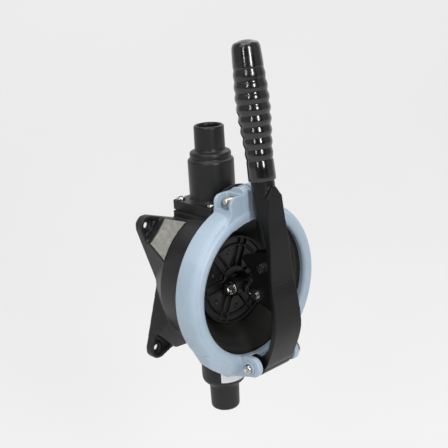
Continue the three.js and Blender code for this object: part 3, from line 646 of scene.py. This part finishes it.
def hinge_saddle():
    """The swelling at the foot of the ring that carries both lugs."""
    edge = [(57, -45), (50, -57.5), (39, -67.5), (29, -74.5), (24.5, -78.5)]
    outline = edge + [(-x, z) for x, z in reversed(edge)]
    swell = lathe("swell", [(0, RING_BACK), (86, RING_BACK), (71.6, -73), (68, -75), (0, -75)], "Y")
    return boolean(swell, prism("saddle", outline, "Y", -75, RING_BACK), "INTERSECT")


def clamp_ring():
    """The clamp ring: split between two ears at the top, with the lever's hinge lugs below."""
    ring = lathe("clamp_ring_moulding", ring_section(), "Y", segments=192)
    join(ring, hinge_saddle(), ear(-1), ear(1), hinge_lug(-1), hinge_lug(1))
    inside = lathe("inside", [
        (0, -50), (65.2, -50), (65.2, -58), (GROOVE_R, -58), (GROOVE_R, -70), (RING_INNER + 0.6, -70),
        (RING_INNER + 0.1, RING_FRONT + 3.2), (RING_INNER + 0.1, -81), (0, -81)], "Y", segments=192)
    pocket_half = (POCKET_X[1] - POCKET_X[0]) / 2, (POCKET_Y[1] - POCKET_Y[0]) / 2
    pocket_at = sum(POCKET_X) / 2, sum(POCKET_Y) / 2
    pockets = [prism("pocket", rectangle(*pocket_half, 1.5, side * pocket_at[0], pocket_at[1]), "Z", 70, 90)
               for side in (-1, 1)]
    bolt_hole = rod("hole", BOLT_HOLE_R, "X", -30, 30, (CLAMP.y, CLAMP.z))
    nut_slot = block("slot", (-8.2, -3.6), (CLAMP.y - 5.4, CLAMP.y + 5.4), (CLAMP.z - 5.4, 90))
    split = block("split", (-SPLIT, SPLIT), (-82, -52), (50, 95))
    hinge_hole = rod("hole", HINGE_PIN_R + 0.2, "X", -30, 30, (HINGE.y, HINGE.z))
    cut(ring, inside, *pockets, bolt_hole, nut_slot, split, hinge_hole)
    moulded(ring, 0.5, 3)
    return finished(ring, "housing", "ring_plastic", RING_BLUE, "clamp_ring")


def threaded_profile(radius, low, high, pitch):
    """Side profile of a screw thread, as ridges along the shank."""
    count = int((high - low) / (pitch / 2))
    return [(radius if k % 2 else radius * 0.86, low + (high - low) * k / count) for k in range(count + 1)]


def hex_head(at, low, high, across, top, slope):
    """A bolt's hexagonal head on the X axis. Over its last slope its radius goes from across to top."""
    profile = [(0, low), (across, low), (across, high - slope), (top, high), (0, high)]
    return lathe("head", profile, "X", at, 6)


def clamp_bolt():
    """The bolt that draws the ears together, with its head on the +X side."""
    low, high = box_mm("clamp_bolt")
    at = (CLAMP.y, CLAMP.z)
    bolt = lathe("clamp_bolt_piece", [
        (0, low.x), (2.1, low.x), *threaded_profile(3, low.x + 0.8, 0, 1.0), (3, 0.6), (3, high.x - 1),
        (0, high.x - 1)], "X", at, 40)
    join(bolt, hex_head(at, high.x - 4, high.x, across=5.2, top=4.3, slope=0.8))
    bevelled(bolt, 0.12, 2, 40)
    return finished(bolt, "housing", "brass", PALE_BRASS, "clamp_bolt")


# ---------------------------------------------------------------- diaphragm and plates

SHEET_BACK = box_mm("diaphragm")[1].y
SHEET_FRONT = SHEET_BACK - 2
SHEET_HOLE_R = 5            # the centre bolt goes through here
BEAD_BACK, BEAD_FRONT = -63.3, -69.7        # the thick edge clamped by the ring
DISH_BACK = box_mm("diaphragm_front_plate")[1].y
DISH_FLOOR = -46.6          # front of the plate between its ribs
SPOKES = 6
SPOKE_TURN = 6              # degrees that the first spoke is turned from the X axis
CHEEK_IN, CHEEK_OUT = 5.3, 9.6              # the clevis that holds the link's eye
PIN_HOLE_R = 3.2


def diaphragm():
    """Rubber sheet: thick bead in the clamp, a rolled flank and a flat middle."""
    inner = curve_through([(40, SHEET_BACK), (43.2, -44.8), (46.4, -51), (49.6, -57.6), (52.6, -62.4)], 5)
    outer = curve_through([(54.4, -66.6), (50.6, -61.6), (47.4, -57.6), (44.2, -51.2), (41.8, -46.6),
                           (39.4, SHEET_FRONT)], 5)
    rib = [(57.4, -69.7), (57.2, -68.9), (56.6, -68.3), (56, -68.1)]
    sheet = lathe("diaphragm_sheet", [
        (SHEET_HOLE_R, SHEET_BACK), *inner, (56, BEAD_BACK), (LIP_R, BEAD_BACK), (LIP_R, BEAD_FRONT), *rib,
        *outer, (SHEET_HOLE_R, SHEET_FRONT), (SHEET_HOLE_R, SHEET_BACK)], "Y", segments=160)
    smooth_shading(sheet, 50)
    sheet.data.materials.append(SHEET_RUBBER)
    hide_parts("diaphragm")
    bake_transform(sheet)
    return sheet


def spoke_rib(angle, offset):
    """One of a spoke's two ribs, from hub to rim."""
    outline = [(11, -45), (38, -45), (37.4, -48.9), (30, -48.3), (16, -48.9), (12, -50.4)]
    rib = prism("rib", outline, "Z", offset - 0.8, offset + 0.8)
    rib.data.transform(Matrix.Rotation(-angle, 4, "Y"))
    return rib


def front_plate():
    """Dished plate with a rim, an inner ring, six double spokes and a clevis for the link's pin."""
    dish = lathe("spoked_plate", [
        (0, DISH_BACK), (38.7, DISH_BACK), (39, DISH_BACK - 0.4), (39, -48.6), (38.4, -49.4), (37.2, -49.4),
        (36.5, -48.7), (36.3, -46.8), (31.6, DISH_FLOOR), (31.3, -48.1), (30.6, -48.4), (29.9, -48.1),
        (29.6, DISH_FLOOR), (13.4, DISH_FLOOR), (13, -49.2), (12.4, -49.8), (0, -49.8),
    ], "Y", segments=128)
    turns = [360 / SPOKES * i + SPOKE_TURN for i in range(SPOKES)]
    ribs = [spoke_rib(radians(turn), side * 3.7) for turn in turns for side in (-1, 1)]
    y, z = PLATE_PIN.y, PLATE_PIN.z
    cheeks = []
    for low, high in ((-CHEEK_OUT, -CHEEK_IN), (CHEEK_IN, CHEEK_OUT)):
        web = prism("cheek", [(-46, z - 10), (y, z - 7.1), (y, z + 7.1), (-46, z + 10)], "X", low, high)
        cheeks.append(join(web, rod("eye", 7.2, "X", low, high, (y, z))))
    join(dish, *ribs, *cheeks)
    sink = lathe("sink", [(0, -52), (6.7, -52), (6.7, -48.3), (4.3, -45.8), (4.3, -44), (0, -44)], "Y")
    pin_hole = rod("hole", PIN_HOLE_R, "X", -14, 14, (y, z))
    room = rod("room", 7.4, "X", -CHEEK_IN, CHEEK_IN, (y, z))
    dimples = [rod("dimple", 2.2, "Y", -47.5, -45.9, (25.5 * cos(a), 25.5 * sin(a)), 24)
               for a in (radians(turn + 180 / SPOKES) for turn in turns)]
    cut(dish, sink, pin_hole, room, *dimples)
    moulded(dish, 0.4, 3)
    return finished(dish, "plate", "plate_plastic", PLATE_BLACK, "diaphragm_front_plate")


def hex_nut(node, across, bore, body):
    """Chamfered hexagon nut on the X axis. across is its radius over the corners."""
    low, high = box_mm(node)
    at = (low.y + high.y) / 2, (low.z + high.z) / 2
    nut = lathe(node + "_piece", [(0, low.x), (across, low.x), (across, high.x), (0, high.x)], "X", at, 6)
    dome = lathe("dome", [
        (0, low.x), (across * 0.86, low.x), (across, low.x + 0.7), (across, high.x - 0.7),
        (across * 0.86, high.x), (0, high.x)], "X", at, 64)
    boolean(nut, dome, "INTERSECT")
    cut(nut, rod("bore", bore, "X", low.x - 1, high.x + 1, at))
    bevelled(nut, 0.1, 2, 30)
    return finished(nut, body, "steel", STEEL, node)


def washer(node, bore, body):
    """Flat washer on the X axis with rolled edges."""
    low, high = box_mm(node)
    at = (low.y + high.y) / 2, (low.z + high.z) / 2
    r, roll = (high.z - low.z) / 2, 0.3
    ring = lathe(node + "_piece", [
        (bore, low.x), (r - roll, low.x), (r, low.x + roll), (r, high.x - roll), (r - roll, high.x),
        (bore, high.x), (bore, low.x)], "X", at, 64)
    bevelled(ring, 0.08, 2, 40)
    return finished(ring, body, "steel", STEEL, node)


def plate_pin():
    """The clevis bolt through the plate's cheeks and the link's eye."""
    low, high = box_mm("plate_pin")
    at = (PLATE_PIN.y, PLATE_PIN.z)
    pin = lathe("plate_pin_piece", [
        (0, low.x), (2.2, low.x), *threaded_profile(2.95, low.x + 0.7, -8, 1.0), (3, -7.4), (3, high.x - 1),
        (0, high.x - 1)], "X", at, 40)
    join(pin, hex_head(at, high.x - 3.3, high.x, across=5, top=4.3, slope=0.6))
    bevelled(pin, 0.1, 2, 40)
    return finished(pin, "plate", "steel", STEEL, "plate_pin")


# ---------------------------------------------------------------- lever

LEVER_TOP = 90.3
LEVER_FRONT = [(-100.3, LEVER_TOP), (-102.1, 64.6), (-104, 47), (-105.9, 14.7), (-108.9, -3.4),
               (-110.4, -24.6), (-107.2, -40.4), (-99.7, -58.6), (-95.5, -64.5)]
LEVER_BACK = [(-101.4, -44), (-105.6, -29), (-104.8, -8), (-101.9, 14), (-99.6, 38), (-95.6, 58),
              (-92, 76), (-91, LEVER_TOP)]
TAPER_FOOT = -30            # below this the lever keeps its full width
HALF_WIDTH_TOP, HALF_WIDTH_FOOT = 7.7, 16
WEB = 2.4                   # thickness of the lever's front wall
FLANGE = 2.6                # thickness of its side walls
LEVER_CHEEK_R = 9
BUSH_HOLE_R = 5.9
RIB_HOLE_R = 2.7
RIB_IN, RIB_OUT = 5.1, 8.6  # the two inner ribs, on either side of the link
GRIP_AXIS_Y, GRIP_AXIS_Z, GRIP_LEAN = -87.9, 93.8, 6.35     # foot of the grip's axis, and its lean
STEM_R = 9.5
STEM_TOP = 24               # along the grip's axis
ROD_HOLE_R = 6.6


def lever_half_width(z, inset=0.0):
    """Half the lever's width at height z, less inset."""
    t = (LEVER_TOP - max(z, TAPER_FOOT)) / (LEVER_TOP - TAPER_FOOT)
    return HALF_WIDTH_TOP + (HALF_WIDTH_FOOT - HALF_WIDTH_TOP) * t - inset


def lever_width(name, inset, top):
    """The lever's outline from the front, a tapering strip, thick in Y."""
    right = [(lever_half_width(z, inset), z) for z in (-75, TAPER_FOOT, 30, top)]
    return prism(name, right + [(-x, z) for x, z in reversed(right)], "Y", -125, -60)


def along_handle(part):
    """Moves a part made round the Z axis onto the leaning axis of the grip."""
    lean = Matrix.Rotation(radians(-GRIP_LEAN), 4, "X")
    part.data.transform(Matrix.Translation((0, GRIP_AXIS_Y * MM, GRIP_AXIS_Z * MM)) @ lean)
    return part


def lever_stem():
    """Round stem that runs out into the back of the lever on a long slope."""
    stem = along_handle(rod("stem", STEM_R, "Z", -64, STEM_TOP, (0, 0), 64))
    slope = [(-60, 150), (-60, 72), (-104, 34), (-106, 60), (-101.5, 92), (-101.5, 150)]
    return boolean(stem, prism("slope", slope, "X", -15, 15), "INTERSECT")


def lever_rib(side):
    """One of the two inner ribs, with eyes for the link's pin and for the bolt above it."""
    low, high = sorted((side * RIB_IN, side * RIB_OUT))
    y, z = LINK_PIN.y, LINK_PIN.z
    outline = [(-107.4, -16), (y, z - 6), (y + 6, z), (-79.5, 15.5), (-68.5, 26), (-71.5, 30), (-102.2, 38)]
    web = prism("rib", rounded(outline, [0, 0, 3, 3, 1, 1.5, 0]), "X", low, high)
    return join(web, rod("eye", 6, "X", low, high, (y, z)),
                rod("eye", 5.4, "X", low, high, (RIB_BOLT.y, RIB_BOLT.z)))


def lever():
    """Curved channel with its back open, a round stem, two inner ribs and a pin hole at the foot."""
    reach = 20                  # well past the sides; the front outline trims it
    front = curve_through(LEVER_FRONT, 6)
    heel = [(HINGE.y, HINGE.z - 5), (HINGE.y, HINGE.z + 5), (-97.5, -49)]
    arm = prism("lever_moulding", front + heel + curve_through(LEVER_BACK, 5), "X", -reach, reach)
    join(arm, rod("cheek", LEVER_CHEEK_R, "X", -reach, reach, (HINGE.y, HINGE.z), 64))
    boolean(arm, lever_width("width", 0, LEVER_TOP + 1), "INTERSECT")
    inside = [(y + WEB, z) for y, z in front] + [(-60, -80), (-60, 92)]
    channel = prism("channel", inside, "X", -reach, reach)
    boolean(channel, lever_width("width", FLANGE, LEVER_TOP + 2), "INTERSECT")
    cut(arm, channel)
    corner = [(1.7, LEVER_TOP + 0.5), (12, LEVER_TOP + 0.5), (12, LEVER_TOP - 11), (8, LEVER_TOP - 8.3)]
    cut(arm, *[prism("corner", [(side * x, z) for x, z in corner], "Y", -125, -93.4) for side in (-1, 1)])
    join(arm, lever_stem(), lever_rib(-1), lever_rib(1))
    # A shallow line across the front wall.
    score = prism("score", [(-108, 9.7), (-106.3, 9.7), (-106.3, 10.3), (-108, 10.3)], "X", -reach, reach)
    cut(arm, score)
    hinge_hole = rod("hole", BUSH_HOLE_R, "X", -reach, reach, (HINGE.y, HINGE.z))
    link_hole = rod("hole", PIN_HOLE_R, "X", -10, 10, (LINK_PIN.y, LINK_PIN.z))
    rib_hole = rod("hole", RIB_HOLE_R, "X", -10, 10, (RIB_BOLT.y, RIB_BOLT.z))
    bore = along_handle(rod("bore", ROD_HOLE_R, "Z", -26, 26, (0, 0)))
    cut(arm, hinge_hole, link_hole, rib_hole, bore)
    moulded(arm, 0.42, 3)
    return finished(arm, "lever", "lever_plastic", LEVER_BLACK, "lever")


# ---------------------------------------------------------------- grip

GRIP_LENGTH = 110
RIB_COUNT = 8
RIB_PITCH = 8.95
FIRST_RIB = 16.6
GRIP_FOOT_R, GRIP_FULL_R, GRIP_NECK_R = 11, 13.8, 12
FULLEST = 62                # how far along the grip is thickest
ROD_END = 100.3             # depth of the rod's hole


def smooth_step(value, low, high):
    """0 below low, 1 above high, and a soft rise between."""
    t = min(1, max(0, (value - low) / (high - low)))
    return t * t * (3 - 2 * t)


def grip_swell(t):
    """Radius of the rib crests at t along the grip."""
    if t < FULLEST:
        return GRIP_FOOT_R + (GRIP_FULL_R - GRIP_FOOT_R) * smooth_step(t, 12, FULLEST)
    return GRIP_FULL_R - (GRIP_FULL_R - GRIP_NECK_R) * smooth_step(t, FULLEST, 100)


def grip():
    """Dipped sleeve: a plain cuff, eight soft ribs that are deepest in the middle, and a domed end."""
    profile = [(0, 0), (10.5, 0), (10.9, 0.25), (11.15, 0.9), (11.15, 4), (11, 10), (10.9, FIRST_RIB - 1)]
    steps = 14
    for i in range(RIB_COUNT):
        depth = 0.45 + 0.65 * sin(pi * (i + 0.8) / (RIB_COUNT + 0.6))
        for k in range(steps):
            t = FIRST_RIB + RIB_PITCH * (i + k / steps)
            wave = (0.5 - 0.5 * cos(2 * pi * k / steps)) ** 0.7
            profile.append((grip_swell(t) - depth * (1 - wave), t))
    end = FIRST_RIB + RIB_COUNT * RIB_PITCH
    cap = curve_through([(grip_swell(end) - 0.5, end), (12.1, end + 2.5), (11.5, GRIP_LENGTH - 8.5),
                         (10.9, GRIP_LENGTH - 4.6), (9.4, GRIP_LENGTH - 2.2), (6.2, GRIP_LENGTH - 1),
                         (3, GRIP_LENGTH - 0.2), (0, GRIP_LENGTH)], 5)
    sleeve = lathe("grip_sleeve", profile + cap, "Z", (0, 0), 96)
    hollow = lathe("hollow", [
        (0, -2), (STEM_R + GAP, -2), (STEM_R + GAP, STEM_TOP + GAP), (ROD_HOLE_R, 27), (ROD_HOLE_R, ROD_END),
        (0, ROD_END)], "Z", (0, 0), 48)
    cut(sleeve, hollow)
    along_handle(sleeve)
    smooth_shading(sleeve, 60)
    return finished(sleeve, "lever", "vinyl", GRIP_VINYL, "grip")


# ---------------------------------------------------------------- hinge pin, plate and label

def hinge_pin():
    """Rivet-like pin: domed and dimpled head on the -X side, threaded end on the other."""
    low, high = box_mm("hinge_pin")
    r, end = HINGE_PIN_R, low.x
    head = [(0, end + 0.9), (1.5, end + 0.9), (2, end + 0.1), (3, end + 0.2), (3.9, end + 0.9),
            (4.3, end + 1.9), (4.2, end + 2.7)]
    pin = lathe("hinge_pin_piece", [
        *head, (r, end + 2.7), (r, high.x - 9), *threaded_profile(r, high.x - 8.5, high.x - 1, 1.25),
        (3.1, high.x), (0, high.x)], "X", (HINGE.y, HINGE.z), 64)
    smooth_shading(pin, 35)
    return finished(pin, "housing", "steel", STEEL, "hinge_pin")


def rating_plate():
    """Blank thin plate wrapped over the shoulder: the CAD's own shape with softened edges."""
    plate = bpy.data.objects.new("rating_plate_piece", NODES["rating_plate"].data.copy())
    bpy.context.scene.collection.objects.link(plate)
    bevelled(plate, 0.15, 2, 40)
    return finished(plate, "housing", "foil", FOIL, "rating_plate")


def tail_label():
    """Blank paper label round the front of the inlet tail."""
    low, high = box_mm("tail_label")
    r, thick, edge = COLLAR_R + GAP, 0.25, 0.1
    outer = r + thick
    left, right = (atan2(-(r * r - x ** 2) ** 0.5, x) for x in (low.x, high.x))
    label = lathe("tail_label_piece", [
        (r, low.z), (outer - edge, low.z), (outer, low.z + edge), (outer, high.z - edge),
        (outer - edge, high.z), (r, high.z), (r, low.z)], "Z", (0, PORT_Y), 32, left, right - left)
    smooth_shading(label, 40)
    return finished(label, "housing", "paper", PAPER, "tail_label")


# ---------------------------------------------------------------- CAD pieces that are shown as they are

# node: (its material, the width of its softened edges in millimetres)
KEPT = {
    "outlet_gasket": (GASKET_RUBBER, 0.2),
    "inlet_seat": (TAIL_BLACK, 0.25),
    "clamp_nut": (PALE_BRASS, 0.15),
    "clamp_washer": (PALE_BRASS, 0.12),
    "hinge_washer_left": (RING_BLUE, 0.15),
    "hinge_washer_right": (RING_BLUE, 0.15),
    "handle_rod": (STEEL, 0.3),
    "rod_pin": (STEEL, 0.2),
    "hinge_bush_left": (TAIL_BLACK, 0.2),
    "hinge_bush_right": (TAIL_BLACK, 0.2),
    "link_pin": (STEEL, 0.2),
    "link_pin_clip": (STEEL, 0.1),
    "rib_bolt": (STEEL, 0.2),
    "link_inner_eye": (LEVER_BLACK, 0.3),
    "link_outer_eye": (LEVER_BLACK, 0.3),
    "link_stud": (STEEL, 0.15),
    "link_lock_nut": (STEEL, 0.15),
    "diaphragm_rear_plate": (PLATE_BLACK, 0.3),
    "centre_bolt": (STEEL, 0.2),
    "centre_nut": (STEEL, 0.15),
    "inlet_flap": (GASKET_RUBBER, 0.15),
    "inlet_flap_weight": (STEEL, 0.2),
    "outlet_flap": (GASKET_RUBBER, 0.15),
    "outlet_flap_weight": (STEEL, 0.2),
}


def dress_cad_nodes():
    """Softens the edges of the small CAD pieces and gives them their materials."""
    for node, (material, width) in KEPT.items():
        shown = NODES[node]
        shown.data.materials.clear()
        shown.data.materials.append(material)
        bevelled(shown, width)


# ---------------------------------------------------------------- stage, light and camera

FLOOR_Z = -360
FLOOR_GLOW = 0.67                   # evens out the sweep, like a lit acrylic table
WORLD_GLOW = 0.36
SCREEN_R, SCREEN_LOW, SCREEN_HIGH = 2300, -250, 2000
TARGET = Vector((5, -45, 44)) * MM  # what the lights are aimed at
CAMERA_AZIMUTH = -42.671
CAMERA_ELEVATION = 17.571
CAMERA_ROLL = -3.36
CAMERA_DISTANCE = 800
CAMERA_SHIFT = (5.383, 43.68)       # how far the camera is moved right and up, in its own plane
LENS, SENSOR = 74.23, 36

# name, degrees to the right of the camera, elevation, distance, (width, height), power
LIGHTS = [
    ("key", -38, 52, 1.3, (0.8, 0.8), 2.5),
    ("strip_right", 24, 22, 1.5, (0.2, 0.7), 14),
    ("strip_left", -24, 22, 1.5, (0.09, 0.7), 4.5),
    ("top", 0, 84, 1.3, (1.1, 1.1), 10),
    ("back_rim", 150, 45, 1.5, (0.9, 0.9), 4),
]


def floor():
    """A pale sweep: flat in front, turned up behind into a backdrop."""
    near, far, top, half_width, r = -3000, 1700, 3000, 4000, 500
    curve = [(far - r + r * sin(radians(a)), r - r * cos(radians(a))) for a in range(0, 91, 6)]
    bend = [(near, 0), *curve, (far, top)]
    steps = len(bend)
    points = [(x, y, FLOOR_Z + z) for x in (-half_width, half_width) for y, z in bend]
    faces = [(i, i + 1, steps + i + 1, steps + i) for i in range(steps - 1)]
    sweep = object_from("floor", points, faces)
    sweep.data.transform(Matrix.Rotation(radians(CAMERA_AZIMUTH), 4, "Z"))
    smooth_shading(sweep)
    shader = Shader("floor_white", (0.2, 0.2, 0.2), 0.85, specular=0.0)
    shader.vary_colour(shader.noise(2, 2), (0.195, 0.195, 0.195), (0.205, 0.205, 0.205))
    Shader.set(shader.surface, {"Emission Color": (1, 1, 1, 1), "Emission Strength": FLOOR_GLOW})
    sweep.data.materials.append(shader.material)


def dark_screen():
    """A curved black screen behind the lights, which gives the glossy parts a dark middle."""
    angles = [radians(CAMERA_AZIMUTH + turn) for turn in range(-42, 55, 8)]
    points = [(SCREEN_R * sin(a), -SCREEN_R * cos(a), z) for z in (SCREEN_LOW, SCREEN_HIGH) for a in angles]
    n = len(angles)
    screen = object_from("dark_screen", points, [(k, k + 1, n + k + 1, n + k) for k in range(n - 1)])
    shader = Shader("screen_black", (0.01, 0.01, 0.01), 0.9, specular=0.0)
    shader.vary_colour(shader.noise(3, 2), (0.008, 0.008, 0.008), (0.012, 0.012, 0.012))
    screen.data.materials.append(shader.material)
    screen.visible_camera = False       # so that it doesn't fill the background seen from behind


def direction(azimuth, elevation):
    """Unit vector away from the pump, the azimuth measured from -Y towards +X."""
    across = cos(elevation)
    return Vector((sin(azimuth) * across, -cos(azimuth) * across, sin(elevation)))


def area_light(name, azimuth, elevation, distance, size, power):
    """A soft rectangular light aimed at the pump. Distance and size are in metres."""
    data = bpy.data.lights.new(name, "AREA")
    data.shape = "RECTANGLE"
    data.size, data.size_y = size
    data.energy = power
    lamp = bpy.data.objects.new(name, data)
    a, e = radians(azimuth), radians(elevation)
    lamp.location = TARGET + direction(a, e) * distance
    lamp.rotation_euler = (TARGET - lamp.location).to_track_quat("-Z", "Y").to_euler()
    bpy.context.scene.collection.objects.link(lamp)


def lights():
    """The studio's lights, and an even white sky round them."""
    for name, turn, *rest in LIGHTS:
        area_light(name, CAMERA_AZIMUTH + turn, *rest)
    world = bpy.data.worlds.new("studio")
    world.use_nodes = True
    sky = world.node_tree.nodes["Background"].inputs
    sky["Color"].default_value = (1, 1, 1, 1)
    sky["Strength"].default_value = WORLD_GLOW
    bpy.context.scene.world = world


def camera():
    """Looks at the pump's axis from the left and a little above, turned slightly in its own plane."""
    a, e, r = radians(CAMERA_AZIMUTH), radians(CAMERA_ELEVATION), radians(CAMERA_ROLL)
    back = direction(a, e)
    level = Vector((cos(a), sin(a), 0))
    upright = back.cross(level)
    right = level * cos(r) + upright * sin(r)
    up = upright * cos(r) - level * sin(r)
    data = bpy.data.cameras.new("camera")
    data.sensor_width = SENSOR
    data.lens = LENS
    eye = bpy.data.objects.new("camera", data)
    shift = right * CAMERA_SHIFT[0] + up * CAMERA_SHIFT[1]
    place = back * CAMERA_DISTANCE + shift + Vector((0, PORT_Y, 0))
    eye.matrix_world = Matrix.Translation(place * MM) @ Matrix((right, up, back)).transposed().to_4x4()
    bpy.context.scene.collection.objects.link(eye)
    bpy.context.scene.camera = eye


# ---------------------------------------------------------------- the pump

pump_body()
outlet_tail()
for screw_node in SCREW_NODES:
    flange_screw(screw_node)
clamp_ring()
clamp_bolt()
diaphragm()
front_plate()
plate_pin()
washer("plate_pin_washer", bore=3.15, body="plate")
hex_nut("plate_pin_nut", across=4.8, bore=3.15, body="plate")
lever()
grip()
hinge_pin()
hex_nut("hinge_nut", across=7.4, bore=4.15, body="housing")
hex_nut("rib_nut", across=4.6, bore=2.6, body="lever")
rating_plate()
tail_label()
dress_cad_nodes()

floor()
dark_screen()
lights()
camera()
bpy.context.scene.view_settings.view_transform = "Standard"
